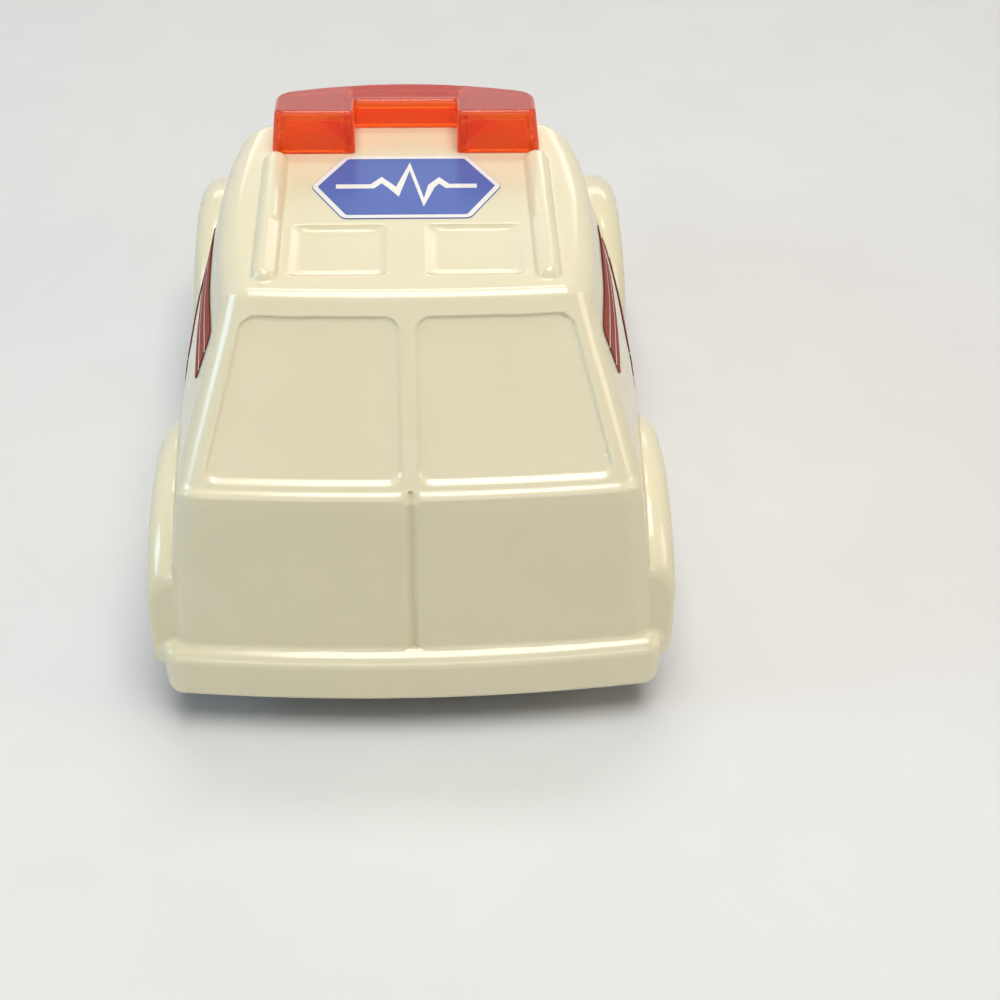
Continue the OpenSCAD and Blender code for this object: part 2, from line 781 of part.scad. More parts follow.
// The light bar: a U in plan, hollow from below, with a top that falls towards the front
// Each corner of its outline has its radius as the third number
bar_corners = concat(
    [[-block_gap / 2, bar_rear_y, bar_r], [-block_gap / 2, bar_mid_y, bar_r / 2],
        [block_gap / 2, bar_mid_y, bar_r / 2], [block_gap / 2, bar_rear_y, bar_r],
        [bar_w / 2, bar_rear_y, bar_r]],
    [for (u = [1:-0.25:-1]) [u * bar_w / 2, bar_front_y - bar_bow * u * u, abs(u) == 1 ? 2 * bar_r : 0]],
    [[-bar_w / 2, bar_rear_y, bar_r]]
);

module bar_form(inset) {
    outline = rounded([for (p = bar_corners) [p.x, p.y]], [for (p = bar_corners) p.z]);
    intersection() {
        translate([0, 0, roof_z]) linear_extrude(bar_h) offset(delta = -inset) polygon(outline);
        prism_x([[bar_rear_y, roof_z - big], [bar_front_y, roof_z - big],
            [bar_front_y, bar_z(bar_front_y) - inset], [bar_rear_y, bar_z(bar_rear_y) - inset]], -big, big);
    }
}

module light_bar() {
    color(lens_red)
        difference() {
            bar_form(0);
            bar_form(bar_wall);
        }
}

module roof_badge() {
    flat = badge_w / 2 - badge_l / 2 / tan(60);
    outline = [[-badge_w / 2, 0], [-flat, -badge_l / 2], [flat, -badge_l / 2],
        [badge_w / 2, 0], [flat, badge_l / 2], [-flat, badge_l / 2]];
    color(badge_blue)
        translate([0, bar_rear_y - badge_gap - badge_l / 2, roof_z])
            linear_extrude(sticker_t) polygon(rounded(outline, badge_r));
}

// A sticker that follows the van body's side inside an outline in Y and Z
module side_sticker(side) {
    color(stripe_red)
        intersection() {
            difference() {
                cabin(sticker_t);
                cabin(0);
            }
            translate([side > 0 ? 0 : -big, 0, 0]) rotate([90, 0, 90]) linear_extrude(big) children();
        }
}

module lower_stripe(side) {
    low = sill_z + low_stripe_up;
    side_sticker(side)
        difference() {
            polygon(box_outline(rear_axle_y + rear_flare_r - low_stripe_over, low,
                front_axle_y - front_flare_r + low_stripe_over, low + low_stripe_h));
            translate([rear_axle_y, axle_z]) circle(r = rear_flare_r + low_stripe_gap, $fn = 96);
            translate([front_axle_y, axle_z]) circle(r = front_flare_r + low_stripe_gap, $fn = 96);
        }
}

module upper_stripe(side) {
    low = belt_z + top_stripe_up;
    start = roof_rear_y + top_stripe_in;
    side_sticker(side)
        polygon(rounded(box_outline(start, low, start + top_stripe_l, low + top_stripe_h), stripe_r));
}

body_shell();
base_plate();
light_bar();
roof_badge();
lower_stripe(-1);  // lower_stripe_left
lower_stripe(1);  // lower_stripe_right
upper_stripe(-1);  // upper_stripe_left
upper_stripe(1);  // upper_stripe_right
axle(front_axle_y);  // front_axle
axle(rear_axle_y);  // rear_axle
axle_keeper(front_axle_y);  // front_axle_keeper
axle_keeper(rear_axle_y);  // rear_axle_keeper
tyre(front_axle_y, -1);  // front_left_tyre
tyre(front_axle_y, 1);  // front_right_tyre
tyre(rear_axle_y, -1);  // rear_left_tyre
tyre(rear_axle_y, 1);  // rear_right_tyre
hub(front_axle_y, -1);  // front_left_hub
hub(front_axle_y, 1);  // front_right_hub
hub(rear_axle_y, -1);  // rear_left_hub
hub(rear_axle_y, 1);  // rear_right_hub
base_screws();
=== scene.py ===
"""Looks of the toy ambulance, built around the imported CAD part.

Lengths of the toy are in millimetres, in the part's own frame: +Y forward, +Z up.
Places of the lights and sizes of the floor are in metres, as in Blender.
"""
import math

import bpy
import numpy as np
from mathutils import Matrix, Vector


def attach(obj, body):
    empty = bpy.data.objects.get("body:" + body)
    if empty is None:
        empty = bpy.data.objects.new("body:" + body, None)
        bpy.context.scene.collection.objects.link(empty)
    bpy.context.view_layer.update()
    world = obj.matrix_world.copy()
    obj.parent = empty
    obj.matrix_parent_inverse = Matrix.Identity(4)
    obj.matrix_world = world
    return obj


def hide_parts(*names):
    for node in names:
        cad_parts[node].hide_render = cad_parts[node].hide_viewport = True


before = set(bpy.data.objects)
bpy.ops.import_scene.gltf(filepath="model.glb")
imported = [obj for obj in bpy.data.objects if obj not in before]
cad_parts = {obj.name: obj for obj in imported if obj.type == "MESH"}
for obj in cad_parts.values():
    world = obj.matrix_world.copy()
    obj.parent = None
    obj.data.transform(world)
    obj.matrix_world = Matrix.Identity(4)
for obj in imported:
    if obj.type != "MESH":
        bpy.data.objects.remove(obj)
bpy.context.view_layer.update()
MM = 0.001


# Forms as signed distances: negative inside, positive outside

def rmax(a, b, r):
    """Intersection of two forms with a rounded edge."""
    u = np.maximum(a + r, 0.0)
    v = np.maximum(b + r, 0.0)
    return np.minimum(np.maximum(a, b), -r) + np.sqrt(u * u + v * v)


def rmin(a, b, r):
    """Union of two forms with a filleted corner."""
    return -rmax(-a, -b, r)


def soft_min(a, b, k):
    """The lesser of two values, blended over about k."""
    h = np.clip(0.5 + 0.5 * (b - a) / k, 0.0, 1.0)
    return b * (1 - h) + a * h - k * h * (1 - h)


def curve(points, soft):
    """A smooth function of the place along the toy."""
    step = 0.1
    t = np.arange(-45.0, 45.0 + step, step)
    n = int(3 * soft / step)
    k = np.exp(-0.5 * (np.arange(-n, n + 1) * step / soft) ** 2)
    v = np.interp(t, [p[0] for p in points], [p[1] for p in points])
    v = np.convolve(np.pad(v, n, mode="edge"), k / k.sum(), "valid")
    return lambda y: np.interp(y, t, v)


# Widths of the van body along its length
belt_half = curve([(-36.5, 19.3), (-24, 19.75), (-12, 19.95), (0, 19.5), (8, 18.6),
                   (14, 17.4), (26, 16.1), (38, 14.9)], 3)
side_slope = curve([(-36.5, 0.133), (-24, 0.22), (-12, 0.26), (3, 0.32), (14, 0.46),
                    (26, 0.45), (38, 0.42)], 3)
side_half = curve([(-36.5, 22.3), (-24, 22.5), (-12, 22.5), (3, 22.5), (14, 21.9),
                   (26, 20.9), (38, 20.0)], 3)
roof_half = curve([(-34, 14.3), (-26.9, 14.5), (-20, 15.6), (-12, 16.05), (-5, 15.5),
                   (-1.9, 14.8), (4, 14.3), (12, 14.0)], 1.5)

# Main places on the toy
ROOF = 43.0
BELT = 29.0
SILL = 5.6
DOOR_Y = -36.5
NOSE_Y = 37.5
AXLE_Z = 8.2
REAR_AXLE = -24.0
FRONT_AXLE = 20.0

# Leaning faces: the lean per millimetre, and the factor from a level measure to a distance
PANE_LEAN, PANE_TRUE = 0.65, 0.838
SCREEN_LEAN, SCREEN_TRUE = 0.63, 0.846
BONNET_FALL, BONNET_TRUE = 0.216, 0.977
SIDE_TRUE = 0.966

# Bow of each face across the toy, and the rounding of its edges
BOW = {"pane": 0.0023, "door": 0.0024, "screen": 0.0205, "bonnet": 0.0028, "nose": 0.0045}
EDGE = {"pane": 0.6, "door": 0.5, "screen": 0.8, "bonnet": 0.6, "nose": 2.4, "side": 1.9}

SCREEN_TOP_Y = 3.0
BONNET_Y, BONNET_Z, BONNET_REAR = 14.0, 27.2, 5.0
NOSE_LEAN, NOSE_LOW = 0.025, 10.6
LEDGE, LEDGE_Z, LEDGE_FRONT, LEDGE_FILLET = 0.5, 29.05, -33.0, 0.3
BELT_SOFT, SIDE_SOFT = 0.8, 1.5

SILL_EDGE = 0.25

# Wheel flares and arches
REAR_FLARE_R, REAR_FLARE_INNER, REAR_FLARE_FILLET = 14.6, 19.5, 0.1
FRONT_FLARE_R, FRONT_FLARE_INNER, FRONT_FLARE_FILLET = 13.8, 17.5, 0.35
FLARE_HALF, FLARE_WIDEST, FLARE_LEAN, FLARE_TOP = 23.4, 23.9, 0.045, 22.0
FLARE_EDGE, FLARE_END, FLARE_END_EDGE = 2.2, 34.9, 0.6
CREASE_Y, CREASE_Z, CREASE_EDGE = -32.4, 7.2, 0.3
ARCH_R, ARCH_INNER, ARCH_EDGE = 9.3, 15.25, 0.35

# Bumpers
BUMPER_Y, BUMPER_BOW, BUMPER_ROOT = 38.0, 1.4, 33.5
BUMPER_Z, BUMPER_RISE, BUMPER_EDGE, BUMPER_END = 7.2, 3.0, 1.3, 1.5
REAR_BUMPER_HALF, FRONT_BUMPER_HALF, BUMPER_FILLET = 22.9, 21.5, 0.6

# Sunk windows: lower edges, tapers with their factors to a distance, and corner roundings.
# UPHILL is the length along a leaning face for each millimetre of height.
WINDOW_TOP, WINDOW_HALF, WINDOW_SINK, WINDOW_FOOT, WINDOW_RIM = 41.1, 16.9, 0.32, 0.2, 0.45
UPHILL = 1.2
MULLION_HALF = 0.85
REAR_LOW, REAR_WIDEST, REAR_TAPER, REAR_TRUE = 29.8, 30.0, 0.3153, 0.954
REAR_UPPER_CORNER, REAR_CORNER = 0.8, 1.0
SCREEN_LOW, SCREEN_TAPER, SCREEN_TAPER_TRUE, SCREEN_CORNER = 29.5, 0.3017, 0.957, 1.5
SIDE_LOW, SIDE_RAKE, SIDE_RAKE_TRUE, SIDE_CORNER = 30.0, 0.7027, 0.818, 1.2
SIDE_WINDOW_REAR, SIDE_WINDOW_TOP_Y = -9.0, -4.0

# Gap between the rear doors, wider at its mouth
GAP_HALF, GAP_FLARE, GAP_TRUE, GAP_LOW, GAP_HIGH, GAP_EDGE = 0.48, 1.3, 0.61, 10.35, 29.1, 0.15

# Roof ribs, trays and the light bar's posts
RIB_X, RIB_Z, RIB_R, RIB_REAR, RIB_FRONT, RIB_FILLET = 11.7, 42.78, 1.12, -24.2, -7.0, 0.2
TRAY_X, TRAY_HALF, TRAY_FRONT, TRAY_REAR = 5.7, 4.25, -17.0, -24.4
TRAY_SIDE_SLOPE, TRAY_SIDE_TRUE = 2.1, 0.43
TRAY_FRONT_SLOPE, TRAY_FRONT_TRUE = 0.25, 0.97
TRAY_REAR_SLOPE, TRAY_REAR_TRUE = 0.8, 0.78
TRAY_CORNER, TRAY_FOOT, TRAY_RIM = 0.3, 0.2, 0.1
TRAY_FLOOR, TRAY_RAMP_Y, TRAY_RAMP, TRAY_RAMP_LENGTH = 42.45, -23.0, 0.12, 0.9
POST_X, POST_HALF_W, POST_Y, POST_HALF_L = 8.425, 1.875, -3.3, 1.3
POST_ROOT, POST_TOP = 42.0, 44.6

# Front
LAMP_X, LAMP_Z, LAMP_R, LAMP_FACE, LAMP_ROOT = 13.0, 14.3, 2.3, 37.3, 34.0
LAMP_EDGE, LAMP_FILLET = 0.5, 0.15
GRILLE_LOW, GRILLE_HALF, GRILLE_BACK, GRILLE_SLOTS, GRILLE_EDGE = 11.8, 9.5, 36.6, 5, 0.12
SLAT = 5.0 / 9.0

# Underside
GEAR_HALF, GEAR_LENGTH, GEAR_TOP = 15.3, 28.0, 13.0
SHELL_WALL, BASE_TOP = 1.6, 6.5
PAD_Y, PAD_R, PAD_TOP = 30.5, 3.9, 7.2

# Light bar
BAR_FOOT, BAR_WALL, BAR_FOOT_EDGE = 43.05, 1.0, 0.15
BAR_HALF, BAR_DRAFT, BAR_CORNER = 12.15, 0.12, 0.8
BAR_REAR, BAR_FRONT, BAR_FRONT_CORNER = -5.8, 2.8, 1.4
BAR_SWEEP, BAR_SWEEP_HALF, BAR_SWEEP_TRUE = 3.0, 12.1, 0.9
NOTCH_HALF, NOTCH_Y, NOTCH_FILLET, NOTCH_CORNER = 4.6, -1.3, 0.35, 0.4
BLOCK_TOP, BLOCK_FALL, BLOCK_RAMP_X, BLOCK_RAMP_Y = 47.4, 0.235, 0.8, 0.4
MIDDLE_TOP, MIDDLE_FALL = 45.95, 0.12
BAR_TOP_TRUE, BAR_TOP_EDGE = 0.95, 0.45


def side_width(y, z):
    """Half width of the van body at a place and height."""
    hb = belt_half(y)
    low = side_slope(y)
    up = (hb - roof_half(y)) / (ROOF - BELT)
    t = z - BELT
    bend = np.sqrt(t * t + BELT_SOFT * BELT_SOFT) - BELT_SOFT
    w = hb - 0.5 * (low + up) * t - 0.5 * (up - low) * bend
    return soft_min(w, side_half(y), SIDE_SOFT)


def faces(x, y, z):
    """Distances to the van body's single faces."""
    xx = x * x
    pane = DOOR_Y + LEDGE + (z - BELT) * PANE_LEAN + BOW["pane"] * xx - y
    screen = y - SCREEN_TOP_Y - (ROOF - z) * SCREEN_LEAN + BOW["screen"] * xx
    bonnet = z - BONNET_Z + BONNET_FALL * (y - BONNET_Y) + BOW["bonnet"] * xx
    return {
        "roof": z - ROOF,
        "pane": pane * PANE_TRUE,
        "door": DOOR_Y + BOW["door"] * xx - y,
        "screen": screen * SCREEN_TRUE,
        "bonnet": bonnet * BONNET_TRUE,
        "nose": y - NOSE_Y + BOW["nose"] * xx + NOSE_LEAN * np.maximum(z - NOSE_LOW, 0.0),
        "side": (x - side_width(y, z)) * SIDE_TRUE,
    }


def van(f, y, z):
    """The plain van body, without flares, bumpers and cuts."""
    top = rmax(f["roof"], f["pane"], EDGE["pane"])
    top = rmax(top, f["screen"], EDGE["screen"])
    top = rmin(top, np.maximum(f["bonnet"], BONNET_REAR - y), EDGE["bonnet"])
    top = rmax(top, f["door"], EDGE["door"])
    ledge = rmax(z - LEDGE_Z, f["door"], EDGE["door"])
    top = rmin(top, np.maximum(ledge, y - LEDGE_FRONT), LEDGE_FILLET)
    top = rmax(top, f["nose"], EDGE["nose"])
    return rmax(top, f["side"], EDGE["side"])


def wheel_distance(y, z, axle):
    return np.sqrt((y - axle) ** 2 + (z - AXLE_Z) ** 2)


def flare(x, y, z, axle, radius, inner):
    """A wheel flare: a rounded drum about the axle, with a crease behind the rear one."""
    face = np.clip(FLARE_HALF + FLARE_LEAN * (FLARE_TOP - z), FLARE_HALF, FLARE_WIDEST)
    d = rmax(wheel_distance(y, z, axle) - radius, x - face, FLARE_EDGE)
    d = rmax(d, np.maximum(y - FLARE_END, -FLARE_END - y), FLARE_END_EDGE)
    if axle < 0:
        d = rmax(d, np.minimum(CREASE_Y - y, CREASE_Z - z), CREASE_EDGE)
    d = np.maximum(d, inner - x)
    return rmax(d, SILL - z, SILL_EDGE)


def bumper(x, y, z, half):
    """A bumper at the +Y end; the rear one is asked for with -y."""
    face = BUMPER_Y - BUMPER_BOW * (x / half) ** 2
    d = rmax(x - half, y - face, BUMPER_END)
    d = rmax(d, np.abs(z - BUMPER_Z) - BUMPER_RISE, BUMPER_EDGE)
    return np.maximum(d, BUMPER_ROOT - y)


def sink(d, face, outline):
    """Cuts a sunk panel with the given outline into one face."""
    return rmax(d, -rmax(outline, -(face + WINDOW_SINK), WINDOW_FOOT), WINDOW_RIM)


def cut_windows(d, f, x, y, z):
    """Rear windows, windscreen, side windows and the gap between the doors."""
    over = z - WINDOW_TOP
    rear = (x - WINDOW_HALF + (z - REAR_WIDEST) * REAR_TAPER) * REAR_TRUE
    rear = rmax(MULLION_HALF - x, rear, REAR_UPPER_CORNER)
    rear = rmax(rear, np.maximum(REAR_LOW - z, over) * UPHILL, REAR_CORNER)
    d = sink(d, f["pane"], rear)
    screen = (x - WINDOW_HALF + (z - SCREEN_LOW) * SCREEN_TAPER) * SCREEN_TAPER_TRUE
    screen = rmax(screen, np.maximum(SCREEN_LOW - z, over) * UPHILL, SCREEN_CORNER)
    d = sink(d, f["screen"], screen)
    side = (y - SIDE_WINDOW_TOP_Y - (WINDOW_TOP - z) * SIDE_RAKE) * SIDE_RAKE_TRUE
    side = rmax(SIDE_WINDOW_REAR - y, side, SIDE_CORNER)
    side = rmax(side, np.maximum(SIDE_LOW - z, over), SIDE_CORNER)
    d = sink(d, f["side"], side)
    rear_face = np.maximum(f["door"], f["pane"])
    gap = (x - GAP_HALF - GAP_FLARE * rear_face) * GAP_TRUE
    gap = np.maximum(gap, np.maximum(GAP_LOW - z, z - GAP_HIGH))
    return rmax(d, -gap, GAP_EDGE)


def shape_roof(d, x, y, z):
    """Ribs, trays and the light bar's posts."""
    along = np.clip(y, RIB_REAR, RIB_FRONT)
    rib = np.sqrt((x - RIB_X) ** 2 + (y - along) ** 2 + (z - RIB_Z) ** 2) - RIB_R
    d = rmin(d, rib, RIB_FILLET)
    drop = ROOF - z
    front = (y - TRAY_FRONT + TRAY_FRONT_SLOPE * drop) * TRAY_FRONT_TRUE
    rear = (TRAY_REAR - y + TRAY_REAR_SLOPE * drop) * TRAY_REAR_TRUE
    sides = (np.abs(x - TRAY_X) - TRAY_HALF + TRAY_SIDE_SLOPE * drop) * TRAY_SIDE_TRUE
    tray = rmax(sides, np.maximum(front, rear), TRAY_CORNER)
    floor = TRAY_FLOOR + TRAY_RAMP * np.clip(TRAY_RAMP_Y - y, 0.0, TRAY_RAMP_LENGTH)
    d = rmax(d, -rmax(tray, floor - z, TRAY_FOOT), TRAY_RIM)
    post = np.maximum(np.abs(y - POST_Y) - POST_HALF_L, z - POST_TOP)
    post = np.maximum(np.abs(x - POST_X) - POST_HALF_W, post)
    return np.minimum(d, np.maximum(post, POST_ROOT - z))


def shape_front(d, x, y, z):
    """Headlamps and grille."""
    lamp = np.sqrt((x - LAMP_X) ** 2 + (z - LAMP_Z) ** 2)
    lamp = rmax(lamp - LAMP_R, np.maximum(y - LAMP_FACE, LAMP_ROOT - y), LAMP_EDGE)
    d = rmin(d, lamp, LAMP_FILLET)
    up = z - GRILLE_LOW - SLAT / 2
    row = np.clip(np.round(up / (2 * SLAT)), 0, GRILLE_SLOTS - 1)
    slot = np.maximum(x - GRILLE_HALF, GRILLE_BACK - y)
    slot = np.maximum(np.abs(up - row * 2 * SLAT) - SLAT / 2, slot)
    return rmax(d, -slot, GRILLE_EDGE)


def body(x, y, z):
    """The moulded shell, for x on either side."""
    x = np.abs(x)
    f = faces(x, y, z)
    plain = van(f, y, z)
    d = rmax(plain, SILL - z, SILL_EDGE)
    rear_flare = flare(x, y, z, REAR_AXLE, REAR_FLARE_R, REAR_FLARE_INNER)
    front_flare = flare(x, y, z, FRONT_AXLE, FRONT_FLARE_R, FRONT_FLARE_INNER)
    d = rmin(d, rear_flare, REAR_FLARE_FILLET)
    d = rmin(d, front_flare, FRONT_FLARE_FILLET)
    d = rmin(d, bumper(x, -y, z, REAR_BUMPER_HALF), BUMPER_FILLET)
    d = rmin(d, bumper(x, y, z, FRONT_BUMPER_HALF), BUMPER_FILLET)
    d = cut_windows(d, f, x, y, z)
    d = shape_roof(d, x, y, z)
    d = shape_front(d, x, y, z)

    # Wheel arches, room for the running gear and the seat of the base
    for axle in (REAR_AXLE, FRONT_AXLE):
        arch = np.maximum(wheel_distance(y, z, axle) - ARCH_R, ARCH_INNER - x)
        d = rmax(d, -arch, ARCH_EDGE)
    gear = np.maximum(np.maximum(x - GEAR_HALF, np.abs(y) - GEAR_LENGTH), z - GEAR_TOP)
    d = np.maximum(d, -gear)
    pad = np.sqrt(x * x + (np.abs(y) - PAD_Y) ** 2) - PAD_R
    seat = np.maximum(plain + SHELL_WALL, z - BASE_TOP)
    return np.maximum(d, -np.minimum(seat, np.maximum(pad, z - PAD_TOP)))


def lens_outside(x, y, z):
    """The light bar as a solid: a bowed bar with two higher blocks behind it."""
    x = np.abs(x)
    half = BAR_HALF - BAR_DRAFT * (z - ROOF)
    front = (y - BAR_FRONT + BAR_SWEEP * (x / BAR_SWEEP_HALF) ** 2) * BAR_SWEEP_TRUE
    plan = rmax(rmax(x - half, BAR_REAR - y, BAR_CORNER), front, BAR_FRONT_CORNER)
    notch = rmax(x - NOTCH_HALF, y - NOTCH_Y, NOTCH_FILLET)
    plan = rmax(plan, -notch, NOTCH_CORNER)
    # 1 on the blocks, 0 between them, with a smooth step
    block = np.maximum((x - NOTCH_HALF) / BLOCK_RAMP_X, (NOTCH_Y - y) / BLOCK_RAMP_Y)
    block = np.clip(block, 0.0, 1.0)
    block = block * block * (3.0 - 2.0 * block)
    high = BLOCK_TOP - BLOCK_FALL * (y - BAR_REAR)
    low = np.minimum(high, MIDDLE_TOP - MIDDLE_FALL * (y - NOTCH_Y))
    top = (z - low - (high - low) * block) * BAR_TOP_TRUE
    return rmax(plan, top, BAR_TOP_EDGE)


def lens(x, y, z):
    """The light bar, hollow and open below."""
    outer = lens_outside(x, y, z)
    d = rmax(outer, BAR_FOOT - z, BAR_FOOT_EDGE)
    return rmax(d, -(outer + BAR_WALL), BAR_FOOT_EDGE)


# From a form to a mesh

def spread(*parts):
    """Places along an axis from (start, end, step) parts that follow on each other."""
    out = []
    for start, end, step in parts:
        n = max(1, round((end - start) / step))
        out.append(np.linspace(start, end, n + 1)[:-1])
    return np.concatenate(out + [[parts[-1][1]]])


def gradient(form, p, h=0.02):
    """Slope of a form at points, from differences over 2 h."""
    g = np.empty_like(p)
    for i in range(3):
        q = p.copy()
        q[:, i] += h
        g[:, i] = form(*q.T)
        q[:, i] -= 2 * h
        g[:, i] -= form(*q.T)
    return g / (2 * h)


def settle(form, p, rounds=3, offset=0.0):
    """Moves points onto the form's surface, and gives its normals there."""
    longest = 0.3
    for _ in range(rounds):
        g = gradient(form, p)
        n2 = np.maximum((g * g).sum(1), 0.05)
        step = ((form(*p.T) - offset) / n2)[:, None] * g
        p = p - np.clip(step, -longest, longest)
    g = gradient(form, p)
    return p, g / np.maximum(np.linalg.norm(g, axis=1), 1e-9)[:, None]


def skin(form, xs, ys, zs):
    """Closed mesh of a form that is alike on both sides: xs starts at 0."""
    half = np.empty((len(xs), len(ys), len(zs)))
    gx, gz = np.meshgrid(xs, zs, indexing="ij")
    for j, y in enumerate(ys):
        half[:, j, :] = form(gx, np.full_like(gx, y), gz)
    val = np.concatenate([half[:0:-1], half])
    xs = np.concatenate([-xs[:0:-1], xs])
    axes = (xs, ys, zs)
    inside = val < 0
    n = np.array(val.shape)
    count = np.zeros(n - 1, dtype=np.int8)
    corners = [(a, b, c) for a in (0, 1) for b in (0, 1) for c in (0, 1)]

    def part(arr, o):
        return arr[o[0]:n[0] - 1 + o[0], o[1]:n[1] - 1 + o[1], o[2]:n[2] - 1 + o[2]]

    for o in corners:
        count += part(inside, o)
    cells = np.argwhere((count > 0) & (count < 8))
    index = np.full(n - 1, -1, dtype=np.int64)
    index[tuple(cells.T)] = np.arange(len(cells))
    total = np.zeros((len(cells), 3))
    hits = np.zeros(len(cells))
    for o in corners:
        for axis in range(3):
            if o[axis]:
                continue
            a = cells + o
            b = a.copy()
            b[:, axis] += 1
            va, vb = val[tuple(a.T)], val[tuple(b.T)]
            cut = (va < 0) != (vb < 0)
            t = np.where(cut, va / np.where(cut, va - vb, 1.0), 0.0)
            p = np.stack([axes[k][a[:, k]] for k in range(3)], 1)
            p[:, axis] += t * (axes[axis][b[:, axis]] - axes[axis][a[:, axis]])
            total += np.where(cut[:, None], p, 0.0)
            hits += cut
    points = total / hits[:, None]
    quads = []
    for axis in range(3):
        a = np.moveaxis(inside, axis, 0)
        idx = np.moveaxis(index, axis, 0)
        flip = a[:-1, 1:-1, 1:-1] & ~a[1:, 1:-1, 1:-1]
        flop = ~a[:-1, 1:-1, 1:-1] & a[1:, 1:-1, 1:-1]
        four = np.stack([idx[:, :-1, :-1], idx[:, 1:, :-1],
                         idx[:, 1:, 1:], idx[:, :-1, 1:]], -1)
        if axis == 1:
            flip, flop = flop, flip
        quads.append(four[flip])
        quads.append(four[flop][:, ::-1])
    return points, np.concatenate(quads)


def make_object(name, points, polys, body_name, materials, normals=None, poly_mats=None):
    """A smooth mesh object from points in millimetres, riding on one body."""
    mesh = bpy.data.meshes.new(name)
    mesh.from_pydata((np.asarray(points) * MM).tolist(), [], [list(map(int, q)) for q in polys])
    mesh.validate()
    mesh.update()
    for m in materials:
        mesh.materials.append(m)
    mesh.polygons.foreach_set("use_smooth", [True] * len(mesh.polygons))
    if poly_mats is not None:
        mesh.polygons.foreach_set("material_index", [int(i) for i in poly_mats])
    if normals is not None:
        mesh.normals_split_custom_set_from_vertices(normals.tolist())
    obj = bpy.data.objects.new(name, mesh)
    bpy.context.scene.collection.objects.link(obj)
    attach(obj, body_name)
    return obj


def skin_object(name, form, grid, material):
    points, quads = skin(form, *grid)
    points, normals = settle(form, points)
    return make_object(name, points, quads, "car", [material], normals)


# Materials

def socket(shader, name, value):
    shader.inputs[name].default_value = value


def new_material(name):
    mat = bpy.data.materials.new(name)
    mat.use_nodes = True
    nodes = mat.node_tree.nodes
    return mat, nodes, mat.node_tree.links, nodes["Principled BSDF"]


def noise(nodes, links, coords, scale, detail=3.0):
    tex = nodes.new("ShaderNodeTexNoise")
    socket(tex, "Scale", scale)
    socket(tex, "Detail", detail)
    socket(tex, "Roughness", 0.55)
    links.new(coords.outputs["Object"], tex.inputs["Vector"])
    return tex


def ramp(nodes, links, fac, stops):
    r = nodes.new("ShaderNodeValToRGB")
    el = r.color_ramp.elements
    while len(el) < len(stops):
        el.new(0.5)
    for e, (pos, col) in zip(el, stops):
        e.position = pos
        e.color = (*col, 1.0)
    links.new(fac, r.inputs["Fac"])
    return r


def remap(nodes, links, fac, low, high):
    """Spreads the middle of a noise over a range."""
    m = nodes.new("ShaderNodeMapRange")
    socket(m, "From Min", 0.3)
    socket(m, "From Max", 0.7)
    socket(m, "To Min", low)
    socket(m, "To Max", high)
    links.new(fac, m.inputs["Value"])
    return m


def bump(nodes, links, height, strength, distance):
    b = nodes.new("ShaderNodeBump")
    socket(b, "Strength", strength)
    socket(b, "Distance", distance)
    links.new(height, b.inputs["Height"])
    return b


# Sizes of the colour clouds and gloss smears, as noise scales, and depth of the ripple in metres
CLOUD, SMEAR, RIPPLE = 70.0, 160.0, 0.00002


def moulded(name, dark, light, rough, grain, bumpy, **sockets):
    """Moulded plastic: a cloudy colour, uneven gloss and a faint surface ripple."""
    mat, nodes, links, shader = new_material(name)
    coords = nodes.new("ShaderNodeTexCoord")
    cloud = noise(nodes, links, coords, CLOUD)
    colour = ramp(nodes, links, cloud.outputs["Fac"], [(0.3, dark), (0.7, light)])
    links.new(colour.outputs["Color"], shader.inputs["Base Color"])
    smear = noise(nodes, links, coords, SMEAR, 2.0)
    gloss = remap(nodes, links, smear.outputs["Fac"], *rough)
    links.new(gloss.outputs["Result"], shader.inputs["Roughness"])
    fine = noise(nodes, links, coords, grain)
    ripple = bump(nodes, links, fine.outputs["Fac"], bumpy, RIPPLE)
    links.new(ripple.outputs["Normal"], shader.inputs["Normal"])
    for key, value in sockets.items():
        socket(shader, key.replace("_", " "), value)
    return mat


cream = moulded("cream_plastic", (0.725, 0.665, 0.46), (0.75, 0.69, 0.49), (0.15, 0.21),
                5000.0, 0.02, IOR=1.6, Subsurface_Weight=0.1,
                Subsurface_Radius=(0.0012, 0.0009, 0.0005), Subsurface_Scale=1.0)
black = moulded("black_plastic", (0.012, 0.012, 0.013), (0.02, 0.02, 0.021), (0.35, 0.5),
                3000.0, 0.15)
rubber = moulded("tyre_rubber", (0.014, 0.014, 0.014), (0.024, 0.023, 0.022), (0.55, 0.75),
                 3500.0, 0.3)
silver = moulded("hub_plastic", (0.42, 0.43, 0.45), (0.5, 0.51, 0.53), (0.28, 0.4),
                 3000.0, 0.1, Metallic=0.35)
steel = moulded("steel", (0.5, 0.5, 0.51), (0.6, 0.6, 0.61), (0.22, 0.38),
                3000.0, 0.1, Metallic=1.0)
blue = moulded("badge_blue", (0.075, 0.125, 0.4), (0.09, 0.145, 0.44), (0.2, 0.26),
               3000.0, 0.03, Specular_IOR_Level=0.3)
white = moulded("print_white", (0.74, 0.73, 0.69), (0.8, 0.79, 0.75), (0.22, 0.3),
                3000.0, 0.03)
red = moulded("stripe_red", (0.27, 0.035, 0.022), (0.34, 0.05, 0.03), (0.5, 0.6),
              3000.0, 0.04, Specular_IOR_Level=0.06)
# The lens's faint emission is a painted glow: the lens is no lamp, and the glow stands in for
# light shining through it
lens_red = moulded("lens_red", (0.99, 0.14, 0.004), (1.0, 0.17, 0.007), (0.05, 0.09),
                   2500.0, 0.02, Transmission_Weight=0.68, IOR=1.46,
                   Emission_Color=(1.0, 0.04, 0.003, 1.0), Emission_Strength=0.05)


